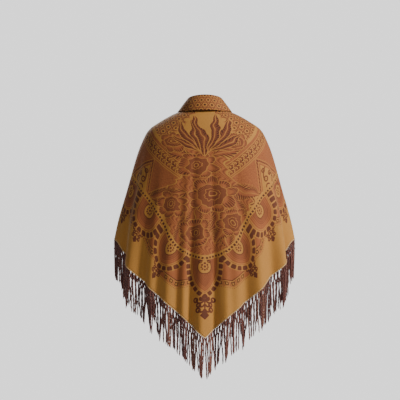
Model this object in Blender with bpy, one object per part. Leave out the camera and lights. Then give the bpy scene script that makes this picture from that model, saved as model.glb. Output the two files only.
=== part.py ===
"""A worn flamenco shawl: one triangle of cloth draped over the shoulders and upper arms of a general figure.

The long edge of the triangle goes round the neck, where it is folded over as a collar, and then down both fronts.
The point hangs at the middle of the back, and a knotted fringe hangs from both short edges.
Metres, +Z up. The origin is at the base of the neck, where the shoulders carry the shawl.
The back of the shawl, with its point, faces -Y, and the wearer looks along +Y.
"""

import math
from collections import namedtuple

import bpy
import numpy as np
from mathutils import Vector
from mathutils.bvhtree import BVHTree

# The cut: a right-angled triangle with its long edge at the top.
TRIANGLE_DEPTH = 0.74
CLOTH_THICKNESS = 0.002
SEAM_GAP = 0.0004

# Heights of the hem under the origin.
POINT_DROP = 0.690
SIDE_DROP = 0.392
FRONT_TIP_DROP = 0.600
HEM_TURN = 0.07            # share of the hem over which it turns from rising to falling

# How finely the cloth is divided.
COLUMNS_A_SIDE = 48
ROWS = 22
ROW_BIAS = 1.25            # above 1, the rows lie closer together near the neck
RING_SAMPLES = 400
RIB_SAMPLES = 14
HEM_PASSES = 6
SQUARENESS = 2.35          # 2 is an ellipse, and more is squarer
BACK_SPREAD = 0.12         # how much wider the cloth is spread at the back than at the front

# The fringe: strands that hang from a narrow strip along each short edge.
STRANDS_A_COLUMN = 2
STRIP_HEIGHT = 0.004
FRINGE_LENGTH = 0.136
LENGTH_SPREAD = 0.010      # how much shorter a strand may be
STRAND_HALF_WIDTH = 0.0017
STRAND_HALF_DEPTH = 0.0012
KNOT_DROP = 0.018
SWAY = 0.004

# The level curves of the draped cloth, from the neck down: where it passes the side, the middle of the back
# and the middle of the front, and how far each front edge stays from the middle.
Section = namedtuple("Section", "name side_x side_z back_y back_z front_y front_z edge_x")
SECTIONS = (
    Section("neck base", 0.064, 0.003, 0.056, 0.006, 0.058, -0.046, 0.0610),
    Section("neck slope", 0.100, -0.012, 0.079, -0.022, 0.082, -0.068, 0.0655),
    Section("mid shoulder", 0.139, -0.034, 0.099, -0.060, 0.104, -0.100, 0.0680),
    Section("outer shoulder", 0.172, -0.058, 0.114, -0.098, 0.122, -0.136, 0.0680),
    Section("shoulder turn", 0.192, -0.093, 0.124, -0.138, 0.136, -0.174, 0.0660),
    Section("upper arm", 0.210, -0.142, 0.130, -0.188, 0.147, -0.220, 0.0620),
    Section("mid arm", 0.236, -0.244, 0.133, -0.286, 0.156, -0.310, 0.0560),
    Section("elbow", 0.261, -0.345, 0.134, -0.385, 0.159, -0.405, 0.0520),
    Section("hip", 0.277, -0.455, 0.138, -0.500, 0.161, -0.520, 0.0500),
    Section("thigh", 0.288, -0.600, 0.147, -0.660, 0.163, -0.660, 0.0490),
    Section("below the hem", 0.296, -0.780, 0.156, -0.820, 0.165, -0.820, 0.0490),
)

# The folds. "at" is the share of the way round from the middle of the back (0) to the front edge (1), negative on
# the wearer's left, which is at -X. "depth" is out of the cloth (+, a ridge) or into it (-, a valley) at the hem.
# "start" is how far down from the neck the fold begins, and "lean" moves its foot round.
Fold = namedtuple("Fold", "at half_width depth start lean")
FOLDS = (
    # The middle of the back.
    Fold(-0.016, 0.036, 0.008, 0.30, 0.004),
    Fold(-0.075, 0.036, -0.012, 0.32, 0.000),
    Fold(-0.136, 0.038, 0.008, 0.34, -0.004),
    Fold(0.046, 0.036, -0.010, 0.30, 0.004),
    Fold(0.112, 0.040, 0.009, 0.36, 0.004),
    Fold(0.180, 0.040, -0.012, 0.30, 0.006),
    Fold(0.250, 0.042, 0.009, 0.38, 0.000),
    Fold(-0.210, 0.042, 0.006, 0.40, -0.006),
    # The valleys between the back and the arms, and the ridges beside them.
    Fold(0.320, 0.042, -0.015, 0.34, 0.004),
    Fold(0.382, 0.042, 0.010, 0.40, 0.000),
    Fold(0.442, 0.050, -0.022, 0.28, 0.004),
    Fold(-0.290, 0.044, -0.013, 0.30, 0.000),
    Fold(-0.362, 0.044, 0.010, 0.40, 0.000),
    Fold(-0.430, 0.050, -0.022, 0.25, -0.004),
    # Over the arms.
    Fold(0.522, 0.052, 0.009, 0.40, 0.000),
    Fold(-0.520, 0.056, 0.010, 0.40, 0.000),
    # Down the fronts.
    Fold(0.610, 0.056, -0.026, 0.30, 0.000),
    Fold(0.688, 0.050, 0.030, 0.28, 0.000),
    Fold(0.765, 0.050, -0.030, 0.25, 0.000),
    Fold(0.840, 0.050, 0.032, 0.22, 0.000),
    Fold(0.912, 0.046, -0.026, 0.20, 0.000),
    Fold(0.985, 0.050, 0.016, 0.18, 0.000),
    Fold(-0.626, 0.056, -0.024, 0.32, 0.000),
    Fold(-0.703, 0.050, 0.029, 0.30, 0.000),
    Fold(-0.778, 0.050, -0.031, 0.24, 0.000),
    Fold(-0.852, 0.050, 0.031, 0.20, 0.000),
    Fold(-0.922, 0.045, -0.025, 0.22, 0.000),
    Fold(-0.990, 0.050, 0.016, 0.18, 0.000),
)

# The collar, where the long edge is folded over. "at" is the distance along the edge from the middle of the neck.
# "stand" is how high the fold is above the edge and "lean" how far it leans over the neck. "end_up" and "end_out"
# place the free edge of the fall. Beside the neck, up is up and out is level. From "turn" 1, down the fronts, up is
# away from the cloth within its own surface, and out is off its face.
CollarRow = namedtuple("CollarRow", "at stand lean end_up end_out turn")
COLLAR_ROWS = (
    CollarRow(0.000, 0.044, 0.010, -0.004, 0.018, 0.0),
    CollarRow(0.045, 0.041, 0.011, -0.005, 0.019, 0.0),
    CollarRow(0.090, 0.033, 0.011, -0.008, 0.022, 0.0),
    CollarRow(0.125, 0.025, 0.009, -0.014, 0.020, 0.2),
    CollarRow(0.160, 0.017, 0.006, -0.024, 0.014, 0.5),
    CollarRow(0.200, 0.010, 0.003, -0.032, 0.008, 0.8),
    CollarRow(0.250, 0.006, 0.001, -0.036, 0.005, 1.0),
    CollarRow(0.330, 0.005, 0.000, -0.034, 0.004, 1.0),
    CollarRow(0.420, 0.004, 0.000, -0.026, 0.004, 1.0),
    CollarRow(0.480, 0.004, 0.000, -0.016, 0.003, 1.0),
)
COLLAR_THICKNESS = 0.0016
COLLAR_ROLL = 0.0030
NECK_COLUMNS = 13
FRONT_COLUMNS = 16
COLLAR_CLEARANCE = 0.0020
COLLAR_SEAM = 0.0013
TURN_SOFTNESS = 0.030
COLLAR_PASSES = 8

# Colours, linear RGB.
OCHRE = (0.42, 0.22, 0.06)
BURGUNDY = (0.075, 0.018, 0.014)


def smoothstep(low, high, value):
    """0 below low, 1 above high, and a smooth rise between them."""
    share = np.clip((value - low) / (high - low), 0.0, 1.0)
    return share * share * (3.0 - 2.0 * share)


def lengths_along(points):
    """The distance along each line of points, which run along the second last axis."""
    steps = np.linalg.norm(np.diff(points, axis=-2), axis=-1)
    start = np.zeros(steps.shape[:-1] + (1,))
    return np.concatenate([start, np.cumsum(steps, axis=-1)], axis=-1)


def unit(vectors):
    return vectors / np.maximum(np.linalg.norm(vectors, axis=-1, keepdims=True), 1e-9)


def ring(section, shares):
    """Points on one level curve. A share is 0 at the middle of the back and 1 or -1 at a front edge."""
    edge_angle = math.pi - math.asin((section.edge_x / section.side_x) ** (SQUARENESS / 2))
    angle = np.linspace(0.0, edge_angle, RING_SAMPLES)
    across = np.sin(angle) ** (2 / SQUARENESS)
    along = np.sign(np.cos(angle)) * np.abs(np.cos(angle)) ** (2 / SQUARENESS)
    depth = np.where(along > 0, section.back_y, section.front_y)
    end_z = np.where(along > 0, section.back_z, section.front_z)
    height = section.side_z + (end_z - section.side_z) * np.cos(angle) ** 2
    curve = np.stack([section.side_x * across, -depth * along, height], axis=-1)
    travelled = lengths_along(curve)
    wanted = np.abs(shares) * travelled[-1]
    points = np.stack([np.interp(wanted, travelled, curve[:, k]) for k in range(3)], axis=-1)
    points[:, 0] *= np.where(shares < 0, -1.0, 1.0)
    return points


def smooth_lines(knots, samples):
    """A smooth line through the knots of each column. knots is (knot, column, 3)."""
    first = 2 * knots[:1] - knots[1:2]
    last = 2 * knots[-1:] - knots[-2:-1]
    padded = np.concatenate([first, knots, last])
    pieces = []
    for k in range(len(knots) - 1):
        a, b, c, d = padded[k:k + 4]
        for t in np.arange(samples) / samples:
            pieces.append(0.5 * (2 * b + (c - a) * t + (2 * a - 5 * b + 4 * c - d) * t ** 2
                                 + (3 * b - a - 3 * c + d) * t ** 3))
    pieces.append(knots[-1])
    return np.stack(pieces, axis=1)


def hem_height(hem_share):
    """How high the hem is at a share of the way along it, from the point (0) to a front tip (1)."""
    rising = -POINT_DROP + (POINT_DROP - SIDE_DROP) * hem_share * 2
    falling = -SIDE_DROP - (FRONT_TIP_DROP - SIDE_DROP) * (hem_share - 0.5) * 2
    over = smoothstep(0.5 - HEM_TURN, 0.5 + HEM_TURN, hem_share)
    return rising * (1 - over) + falling * over


def cut_lines(lines, low_z, shares):
    """Each line down to its own height low_z, with points at these shares of its length."""
    travelled = lengths_along(lines)
    cut = np.empty((len(lines), len(shares), 3))
    for c, line in enumerate(lines):
        full = np.interp(-low_z[c], -line[:, 2], travelled[c])
        for k in range(3):
            cut[c, :, k] = np.interp(shares * full, travelled[c], line[:, k])
    return cut


def fold_depth(share, down):
    """How far the folds push the cloth out at a share of the way round and a share of the way down."""
    depth = np.zeros(np.broadcast(share, down).shape)
    for fold in FOLDS:
        beside = (share - fold.at - fold.lean * down) / fold.half_width
        grown = np.clip((down - fold.start) / (1 - fold.start), 0.0, 1.0) ** 1.3
        depth += fold.depth * np.exp(-1.6 * beside ** 2) * grown
    return depth


def outward(grid):
    """The level direction that points out of the cloth, at each point of a grid of (column, row, 3)."""
    round_it = np.gradient(grid, axis=0)
    return unit(np.stack([round_it[..., 1], -round_it[..., 0], np.zeros(grid.shape[:2])], axis=-1))


def draped(shares, low_z, down):
    """The cloth's outer face, folds and all, as a grid of (column, row, 3)."""
    knots = np.stack([ring(section, shares) for section in SECTIONS])
    grid = cut_lines(smooth_lines(knots, RIB_SAMPLES), low_z, down)
    return grid + outward(grid) * fold_depth(shares[:, None], down[None, :])[..., None]


def even_columns():
    """The columns' shares of the way round, an even distance apart along the hem, and their shares of the hem."""
    fine = np.linspace(-1.0, 1.0, 801)
    spread = np.abs(fine) + BACK_SPREAD * np.abs(fine) * (1 - np.abs(fine))
    shares = np.sign(fine) * spread
    hem_share = np.abs(fine)
    for _ in range(HEM_PASSES):
        hem = draped(shares, hem_height(hem_share), np.array([0.0, 1.0]))[:, 1]
        travelled = lengths_along(hem)
        middle = travelled[len(fine) // 2]
        halves = np.where(fine < 0, middle, travelled[-1] - middle)
        hem_share = np.abs(travelled - middle) / halves
    signed = hem_share * np.sign(fine)
    wanted = np.linspace(-1.0, 1.0, 2 * COLUMNS_A_SIDE + 1)
    print(f"hem {travelled[-1]:.3f} m, cut {2 * math.sqrt(2) * TRIANGLE_DEPTH:.3f} m")
    return np.interp(wanted, signed, shares), wanted


def face_normals(grid):
    """The outward direction at each point of the cloth's outer face."""
    return unit(np.cross(np.gradient(grid, axis=1), np.gradient(grid, axis=0)))


def add_object(name, points, faces, colour):
    """A closed solid from its points and faces, shaded smooth, with a plain cloth material."""
    mesh = bpy.data.meshes.new(name)
    mesh.from_pydata([tuple(p) for p in points], [], faces)
    mesh.update()
    mesh.shade_smooth()
    mesh.set_sharp_from_angle(angle=math.radians(50))
    material = bpy.data.materials.new(name + "_cloth")
    material.use_nodes = True
    shader = material.node_tree.nodes["Principled BSDF"]
    shader.inputs["Base Color"].default_value = (*colour, 1.0)
    shader.inputs["Roughness"].default_value = 0.8
    mesh.materials.append(material)
    piece = bpy.data.objects.new(name, mesh)
    bpy.context.scene.collection.objects.link(piece)
    return piece


def wall(outer, inner):
    """The points and faces of a closed wall between two grids of (column, row, 3)."""
    columns, rows = outer.shape[:2]
    count = columns * rows
    points = np.concatenate([outer.reshape(-1, 3), inner.reshape(-1, 3)])

    def at(c, r, inside=0):
        return inside * count + c * rows + r

    faces = []
    for c in range(columns - 1):
        for r in range(rows - 1):
            faces.append((at(c, r), at(c, r + 1), at(c + 1, r + 1), at(c + 1, r)))
            faces.append((at(c, r, 1), at(c + 1, r, 1), at(c + 1, r + 1, 1), at(c, r + 1, 1)))
    for c in range(columns - 1):
        top, low = 0, rows - 1
        faces.append((at(c, top), at(c + 1, top), at(c + 1, top, 1), at(c, top, 1)))
        faces.append((at(c, low), at(c, low, 1), at(c + 1, low, 1), at(c + 1, low)))
    for r in range(rows - 1):
        near, far = 0, columns - 1
        faces.append((at(near, r), at(near, r, 1), at(near, r + 1, 1), at(near, r + 1)))
        faces.append((at(far, r), at(far, r + 1), at(far, r + 1, 1), at(far, r, 1)))
    return points, faces


def turned_edge(grid, normals):
    """The cloth's long edge as one line, from one front tip round the neck to the other.

    Returns the edge's points, the directions out of the cloth and the directions from the edge into the cloth.
    """
    left = grid[0, ::-1], normals[0, ::-1], unit(grid[1] - grid[0])[::-1]
    neck = grid[1:-1, 0], normals[1:-1, 0], unit(grid[1:-1, 1] - grid[1:-1, 0])
    right = grid[-1], normals[-1], unit(grid[-2] - grid[-1])
    return tuple(np.concatenate([a, b, c]) for a, b, c in zip(left, neck, right))


def smoothed(travelled, values, place):
    """The mean direction along a line within a short distance of a place, so that a corner turns softly."""
    near = place + TURN_SOFTNESS * np.linspace(-1.0, 1.0, 9)
    return unit(np.array([np.interp(near, travelled, values[:, k]).mean() for k in range(3)]))


def collar_line(row):
    """The collar's line at one place, as (up, out) pairs from its seam to the free edge of its fall."""
    roll = COLLAR_ROLL
    crest = max(row.stand, 1.6 * roll)
    seam = (COLLAR_SEAM, 0.0)
    rising = (0.5 * crest, -0.62 * row.lean)
    inner = (crest - 0.7 * roll, -row.lean)
    top = (crest, roll - row.lean)
    outer = (crest - 0.7 * roll, 2 * roll - row.lean)
    middle = (0.5 * (crest + row.end_up), 0.45 * (2 * roll - row.lean) + 0.55 * row.end_out + 0.001)
    return [seam, rising, inner, top, outer, middle, (row.end_up, row.end_out)]


def lifted(points, clearance, tree):
    """The points, with each that is over the cloth moved out to at least this distance from its middle surface."""
    moved = []
    for point in points:
        near, normal, _, _ = tree.find_nearest(Vector(point))
        away = Vector(point) - near
        off = away.dot(normal)
        beside = (away - normal * off).length
        push = max(0.0, clearance - off) if beside < 0.3 * abs(off) + 0.0002 else 0.0
        moved.append(np.array(Vector(point) + normal * push))
    return np.array(moved)


def collar(grid, normals):
    """The folded long edge, as the points and faces of a closed wall."""
    edge, out, into = turned_edge(grid, normals)
    travelled = lengths_along(edge)
    travelled -= travelled[len(travelled) // 2]
    columns = grid.reshape(-1, 3)
    rows = grid.shape[1]
    corner = travelled[-rows]
    beside_neck = np.linspace(0.0, corner, NECK_COLUMNS + 1)
    down_front = corner + (COLLAR_ROWS[-1].at - corner) * np.linspace(0.0, 1.0, FRONT_COLUMNS + 1)[1:] ** 1.2
    half = np.concatenate([beside_neck, down_front])
    places = np.concatenate([-half[:0:-1], half])
    table = np.array(COLLAR_ROWS)
    quads = [
        (c * rows + r, c * rows + r + 1, (c + 1) * rows + r + 1, (c + 1) * rows + r)
        for c in range(grid.shape[0] - 1) for r in range(rows - 1)
    ]
    tree = BVHTree.FromPolygons([Vector(p) for p in columns], quads)
    lines = []
    for place in places:
        row = CollarRow(*(np.interp(abs(place), table[:, 0], table[:, k]) for k in range(6)))
        base = np.array([np.interp(place, travelled, edge[:, k]) for k in range(3)])
        off = smoothed(travelled, out, place)
        inward = smoothed(travelled, into, place)
        level = unit(off * np.array([1.0, 1.0, 0.0]))
        up = unit((1 - row.turn) * np.array([0.0, 0.0, 1.0]) - row.turn * inward)
        away = (1 - row.turn) * level + row.turn * off
        away = unit(away - up * np.dot(away, up))
        lines.append([base + up * a + away * b for a, b in collar_line(row)])
    middle = np.array(lines)
    for _ in range(COLLAR_PASSES):
        middle[1:-1, 1:] = 0.5 * middle[1:-1, 1:] + 0.25 * (middle[:-2, 1:] + middle[2:, 1:])
    for k in (4, 5, 6):
        middle[:, k] = lifted(middle[:, k], COLLAR_CLEARANCE + 0.5 * COLLAR_THICKNESS, tree)
    half = 0.5 * COLLAR_THICKNESS * face_normals(middle)
    return wall(middle + half, middle - half)


def spaced(line, count):
    """The line with this many equal steps for each of its own."""
    old = np.arange(len(line))
    new = np.arange((len(line) - 1) * count + 1) / count
    return np.stack([np.interp(new, old, line[:, k]) for k in range(3)], axis=-1)


def fringe(outer_hem, inner_hem, below, seed):
    """A narrow strip along one short edge of the cloth with a strand hanging from each of its steps."""
    chance = np.random.RandomState(seed)
    outer = spaced(outer_hem, STRANDS_A_COLUMN)
    inner = spaced(inner_hem, STRANDS_A_COLUMN)
    below = unit(spaced(below, STRANDS_A_COLUMN))
    top = SEAM_GAP * below
    foot = (SEAM_GAP + STRIP_HEIGHT) * below
    lines = np.stack([outer + top, outer + foot, inner + foot, inner + top], axis=1)
    points = [tuple(p) for p in lines.reshape(-1, 3)]
    faces = [(3, 2, 1, 0)]
    count = len(outer) - 1
    for n in range(count):
        a, b = 4 * n, 4 * (n + 1)
        faces.append((a, a + 1, b + 1, b))
        faces.append((a + 2, a + 3, b + 3, b + 2))
        faces.append((a + 3, a, b, b + 3))
        root = [a + 1, a + 2, b + 2, b + 1]
        corners = np.array([points[k] for k in root])
        middle = corners.mean(axis=0)
        along = unit((corners[3] - corners[0]) * np.array([1.0, 1.0, 0.0]))
        off = np.array([along[1], -along[0], 0.0])
        if np.dot(off, corners[0] - corners[1]) < 0:
            off = -off
        length = FRINGE_LENGTH - LENGTH_SPREAD * chance.uniform()
        swing = SWAY * chance.uniform(-1.0, 1.0, 2)
        for drop, sideways, grow in ((KNOT_DROP, 0.0, 1.0), (0.55 * length, 0.25, 1.0), (length, 1.0, 0.7)):
            centre = middle - np.array([0.0, 0.0, drop])
            centre = centre + 0.35 * sideways * (swing[0] * along) + sideways * swing[1] * off
            wide = grow * STRAND_HALF_WIDTH * along
            deep = grow * STRAND_HALF_DEPTH * off
            start = len(points)
            points += [tuple(centre - wide + deep), tuple(centre - wide - deep),
                       tuple(centre + wide - deep), tuple(centre + wide + deep)]
            ring_now = [start, start + 1, start + 2, start + 3]
            for k in range(4):
                j = (k + 1) % 4
                faces.append((root[k], root[j], ring_now[j], ring_now[k]))
            root = ring_now
        faces.append(tuple(root))
    last = 4 * count
    faces.append((last, last + 1, last + 2, last + 3))
    return points, faces


def build():
    for old in list(bpy.data.objects):
        bpy.data.objects.remove(old)
    shares, hem_shares = even_columns()
    down = np.linspace(0.0, 1.0, ROWS + 1) ** ROW_BIAS
    outer = draped(shares, hem_height(np.abs(hem_shares)), down)
    normals = face_normals(outer)
    inner = outer - CLOTH_THICKNESS * normals
    add_object("shawl_cloth", *wall(outer, inner), OCHRE)
    middle_face = outer - 0.5 * CLOTH_THICKNESS * normals
    add_object("collar_fold", *collar(middle_face, normals), OCHRE)
    below = unit(outer[:, -1] - outer[:, -2])
    half = COLUMNS_A_SIDE
    add_object("fringe_left", *fringe(outer[:half + 1, -1], inner[:half + 1, -1], below[:half + 1], 3), BURGUNDY)
    add_object("fringe_right", *fringe(outer[half:, -1], inner[half:, -1], below[half:], 4), BURGUNDY)
    depth = lengths_along(outer[half])[-1]
    print(f"depth at the middle {depth:.3f} m, long edge {lengths_along(turned_edge(outer, normals)[0])[-1]:.3f} m")


build()
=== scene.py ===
"""The looks of a worn flamenco shawl: woven ochre and brown cloth, a folded collar and a knotted yarn fringe.

The cloth is draped here by the same rules as the CAD solids, only finer, with deeper folds down the back. Its
pattern is worked out from the flat cut: how far each place is across from the middle, and how far it is above
the shawl's point. Metres throughout.
"""

import math
from collections import namedtuple

import bpy
import numpy as np
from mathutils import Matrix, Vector
from mathutils.bvhtree import BVHTree


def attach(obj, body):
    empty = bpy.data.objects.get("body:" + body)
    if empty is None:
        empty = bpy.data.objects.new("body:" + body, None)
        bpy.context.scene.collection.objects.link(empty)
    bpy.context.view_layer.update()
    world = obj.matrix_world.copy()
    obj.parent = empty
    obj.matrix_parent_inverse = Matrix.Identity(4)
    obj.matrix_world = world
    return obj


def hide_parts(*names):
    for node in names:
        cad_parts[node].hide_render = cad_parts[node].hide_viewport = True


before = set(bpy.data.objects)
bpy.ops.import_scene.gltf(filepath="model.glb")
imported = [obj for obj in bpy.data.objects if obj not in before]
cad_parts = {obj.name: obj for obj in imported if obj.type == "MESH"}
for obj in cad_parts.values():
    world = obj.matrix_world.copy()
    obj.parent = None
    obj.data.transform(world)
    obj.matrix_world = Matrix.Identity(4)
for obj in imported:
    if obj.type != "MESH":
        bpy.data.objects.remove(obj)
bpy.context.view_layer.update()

CLOTH_THICKNESS = 0.002

# Heights of the hem under the origin.
POINT_DROP = 0.690
SIDE_DROP = 0.392
FRONT_TIP_DROP = 0.600
HEM_TURN = 0.07            # share of the hem over which it turns from rising to falling

# How finely the cloth is divided.
COLUMNS_A_SIDE = 160
ROWS = 140
ROW_BIAS = 1.25            # above 1, the rows lie closer together near the neck
RING_SAMPLES = 400
RIB_SAMPLES = 14
HEM_PASSES = 6
SQUARENESS = 2.35          # 2 is an ellipse, and more is squarer
BACK_SPREAD = 0.12         # how much wider the cloth is spread at the back than at the front

# The level curves of the draped cloth, from the neck down: where it passes the side, the middle of the back
# and the middle of the front, and how far each front edge stays from the middle.
Section = namedtuple("Section", "name side_x side_z back_y back_z front_y front_z edge_x")
SECTIONS = (
    Section("neck base", 0.064, 0.003, 0.056, 0.006, 0.058, -0.046, 0.0610),
    Section("neck slope", 0.100, -0.012, 0.079, -0.022, 0.082, -0.068, 0.0655),
    Section("mid shoulder", 0.139, -0.034, 0.099, -0.060, 0.104, -0.100, 0.0680),
    Section("outer shoulder", 0.172, -0.058, 0.114, -0.098, 0.122, -0.136, 0.0680),
    Section("shoulder turn", 0.192, -0.093, 0.124, -0.138, 0.136, -0.174, 0.0660),
    Section("upper arm", 0.210, -0.142, 0.130, -0.188, 0.147, -0.220, 0.0620),
    Section("mid arm", 0.236, -0.244, 0.133, -0.286, 0.156, -0.310, 0.0560),
    Section("elbow", 0.261, -0.345, 0.134, -0.385, 0.159, -0.405, 0.0520),
    Section("hip", 0.277, -0.455, 0.138, -0.500, 0.161, -0.520, 0.0500),
    Section("thigh", 0.288, -0.600, 0.147, -0.660, 0.163, -0.660, 0.0490),
    Section("below the hem", 0.296, -0.780, 0.156, -0.820, 0.165, -0.820, 0.0490),
)

# The folds. "at" is the share of the way round from the middle of the back (0) to the front edge (1), negative
# on the wearer's left, which is at -X. "depth" is out of the cloth (+, a ridge) or into it (-, a valley) at
# the hem.
# "start" is how far down from the neck the fold begins, and "lean" moves its foot round.
Fold = namedtuple("Fold", "at half_width depth start lean", defaults=(0.0,))
FOLDS = (
    # The middle of the back.
    Fold(-0.020, 0.028, 0.010, 0.14, 0.004),
    Fold(-0.066, 0.023, -0.013, 0.10),
    Fold(-0.094, 0.022, 0.005, 0.16),
    Fold(-0.126, 0.022, -0.006, 0.20),
    Fold(-0.164, 0.030, 0.007, 0.22, -0.004),
    Fold(0.040, 0.023, -0.014, 0.10, 0.004),
    Fold(0.092, 0.026, 0.008, 0.16, 0.004),
    Fold(0.140, 0.030, 0.003, 0.24, 0.004),
    Fold(0.182, 0.034, -0.012, 0.20, 0.006),
    Fold(0.250, 0.038, 0.011, 0.36),
    Fold(-0.214, 0.034, -0.007, 0.40, -0.006),
    Fold(-0.252, 0.032, 0.008, 0.40),
    # The valleys between the back and the arms, and the ridges beside them.
    Fold(0.320, 0.042, -0.015, 0.34, 0.004),
    Fold(0.382, 0.042, 0.010, 0.40),
    Fold(0.442, 0.050, -0.022, 0.28, 0.004),
    Fold(-0.290, 0.044, -0.013, 0.30),
    Fold(-0.362, 0.044, 0.010, 0.40),
    Fold(-0.430, 0.050, -0.022, 0.25, -0.004),
    # Over the arms.
    Fold(0.522, 0.052, 0.009, 0.40),
    Fold(-0.520, 0.056, 0.010, 0.40),
    # Down the fronts.
    Fold(0.610, 0.056, -0.026, 0.30),
    Fold(0.688, 0.050, 0.030, 0.28),
    Fold(0.765, 0.050, -0.030, 0.25),
    Fold(0.840, 0.050, 0.032, 0.22),
    Fold(0.912, 0.046, -0.026, 0.20),
    Fold(0.985, 0.050, 0.016, 0.18),
    Fold(-0.626, 0.056, -0.024, 0.32),
    Fold(-0.703, 0.050, 0.029, 0.30),
    Fold(-0.778, 0.050, -0.031, 0.24),
    Fold(-0.852, 0.050, 0.031, 0.20),
    Fold(-0.922, 0.045, -0.025, 0.22),
    Fold(-0.990, 0.050, 0.016, 0.18),
)

# The collar, where the long edge is folded over. "at" is the distance along the edge from the middle of the
# neck. "stand" is how high the fold is above the edge and "lean" how far it leans over the neck. "end_up" and
# "end_out" place the free edge of the fall. Beside the neck, up is up and out is level. From "turn" 1, down the
# fronts, up is away from the cloth within its own surface, and out is off its face.
CollarRow = namedtuple("CollarRow", "at stand lean end_up end_out turn")
COLLAR_ROWS = (
    CollarRow(0.000, 0.044, 0.010, -0.004, 0.018, 0.0),
    CollarRow(0.045, 0.041, 0.011, -0.005, 0.019, 0.0),
    CollarRow(0.090, 0.033, 0.011, -0.008, 0.022, 0.0),
    CollarRow(0.125, 0.025, 0.009, -0.014, 0.020, 0.2),
    CollarRow(0.160, 0.017, 0.006, -0.024, 0.014, 0.5),
    CollarRow(0.200, 0.010, 0.003, -0.032, 0.008, 0.8),
    CollarRow(0.250, 0.006, 0.001, -0.036, 0.005, 1.0),
    CollarRow(0.330, 0.005, 0.000, -0.034, 0.004, 1.0),
    CollarRow(0.420, 0.004, 0.000, -0.026, 0.004, 1.0),
    CollarRow(0.480, 0.004, 0.000, -0.016, 0.003, 1.0),
)
COLLAR_THICKNESS = 0.0016
COLLAR_ROLL = 0.0030
NECK_COLUMNS = 13
FRONT_COLUMNS = 16
COLLAR_CLEARANCE = 0.0020
COLLAR_SEAM = 0.0013
TURN_SOFTNESS = 0.030
COLLAR_PASSES = 8


def smoothstep(low, high, value):
    """0 below low, 1 above high, and a smooth rise between them."""
    share = np.clip((value - low) / (high - low), 0.0, 1.0)
    return share * share * (3.0 - 2.0 * share)


def lengths_along(points):
    """The distance along each line of points, which run along the second last axis."""
    steps = np.linalg.norm(np.diff(points, axis=-2), axis=-1)
    start = np.zeros(steps.shape[:-1] + (1,))
    return np.concatenate([start, np.cumsum(steps, axis=-1)], axis=-1)


def unit(vectors):
    return vectors / np.maximum(np.linalg.norm(vectors, axis=-1, keepdims=True), 1e-9)


def ring(section, shares):
    """Points on one level curve. A share is 0 at the middle of the back and 1 or -1 at a front edge."""
    edge_angle = math.pi - math.asin((section.edge_x / section.side_x) ** (SQUARENESS / 2))
    angle = np.linspace(0.0, edge_angle, RING_SAMPLES)
    across = np.sin(angle) ** (2 / SQUARENESS)
    along = np.sign(np.cos(angle)) * np.abs(np.cos(angle)) ** (2 / SQUARENESS)
    depth = np.where(along > 0, section.back_y, section.front_y)
    end_z = np.where(along > 0, section.back_z, section.front_z)
    height = section.side_z + (end_z - section.side_z) * np.cos(angle) ** 2
    curve = np.stack([section.side_x * across, -depth * along, height], axis=-1)
    travelled = lengths_along(curve)
    wanted = np.abs(shares) * travelled[-1]
    points = np.stack([np.interp(wanted, travelled, curve[:, k]) for k in range(3)], axis=-1)
    points[:, 0] *= np.where(shares < 0, -1.0, 1.0)
    return points


def smooth_lines(knots, samples):
    """A smooth line through the knots of each column. knots is (knot, column, 3)."""
    first = 2 * knots[:1] - knots[1:2]
    last = 2 * knots[-1:] - knots[-2:-1]
    padded = np.concatenate([first, knots, last])
    pieces = []
    for k in range(len(knots) - 1):
        a, b, c, d = padded[k:k + 4]
        for t in np.arange(samples) / samples:
            pieces.append(0.5 * (2 * b + (c - a) * t + (2 * a - 5 * b + 4 * c - d) * t ** 2
                                 + (3 * b - a - 3 * c + d) * t ** 3))
    pieces.append(knots[-1])
    return np.stack(pieces, axis=1)


def hem_height(hem_share):
    """How high the hem is at a share of the way along it, from the point (0) to a front tip (1)."""
    rising = -POINT_DROP + (POINT_DROP - SIDE_DROP) * hem_share * 2
    falling = -SIDE_DROP - (FRONT_TIP_DROP - SIDE_DROP) * (hem_share - 0.5) * 2
    over = smoothstep(0.5 - HEM_TURN, 0.5 + HEM_TURN, hem_share)
    return rising * (1 - over) + falling * over


def cut_lines(lines, low_z, shares):
    """Each line down to its own height low_z, with points at these shares of its length."""
    travelled = lengths_along(lines)
    cut = np.empty((len(lines), len(shares), 3))
    for c, line in enumerate(lines):
        full = np.interp(-low_z[c], -line[:, 2], travelled[c])
        for k in range(3):
            cut[c, :, k] = np.interp(shares * full, travelled[c], line[:, k])
    return cut


def fold_depth(share, down):
    """How far the folds push the cloth out at a share of the way round and a share of the way down."""
    depth = np.zeros(np.broadcast(share, down).shape)
    for fold in FOLDS:
        beside = (share - fold.at - fold.lean * down) / fold.half_width
        grown = np.clip((down - fold.start) / (1 - fold.start), 0.0, 1.0) ** 1.3
        depth += fold.depth * np.exp(-1.6 * beside ** 2) * grown
    return depth


def outward(grid):
    """The level direction that points out of the cloth, at each point of a grid of (column, row, 3)."""
    round_it = np.gradient(grid, axis=0)
    return unit(np.stack([round_it[..., 1], -round_it[..., 0], np.zeros(grid.shape[:2])], axis=-1))


def draped(shares, low_z, down):
    """The cloth's outer face, folds and all, as a grid of (column, row, 3)."""
    knots = np.stack([ring(section, shares) for section in SECTIONS])
    grid = cut_lines(smooth_lines(knots, RIB_SAMPLES), low_z, down)
    return grid + outward(grid) * fold_depth(shares[:, None], down[None, :])[..., None]


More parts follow.
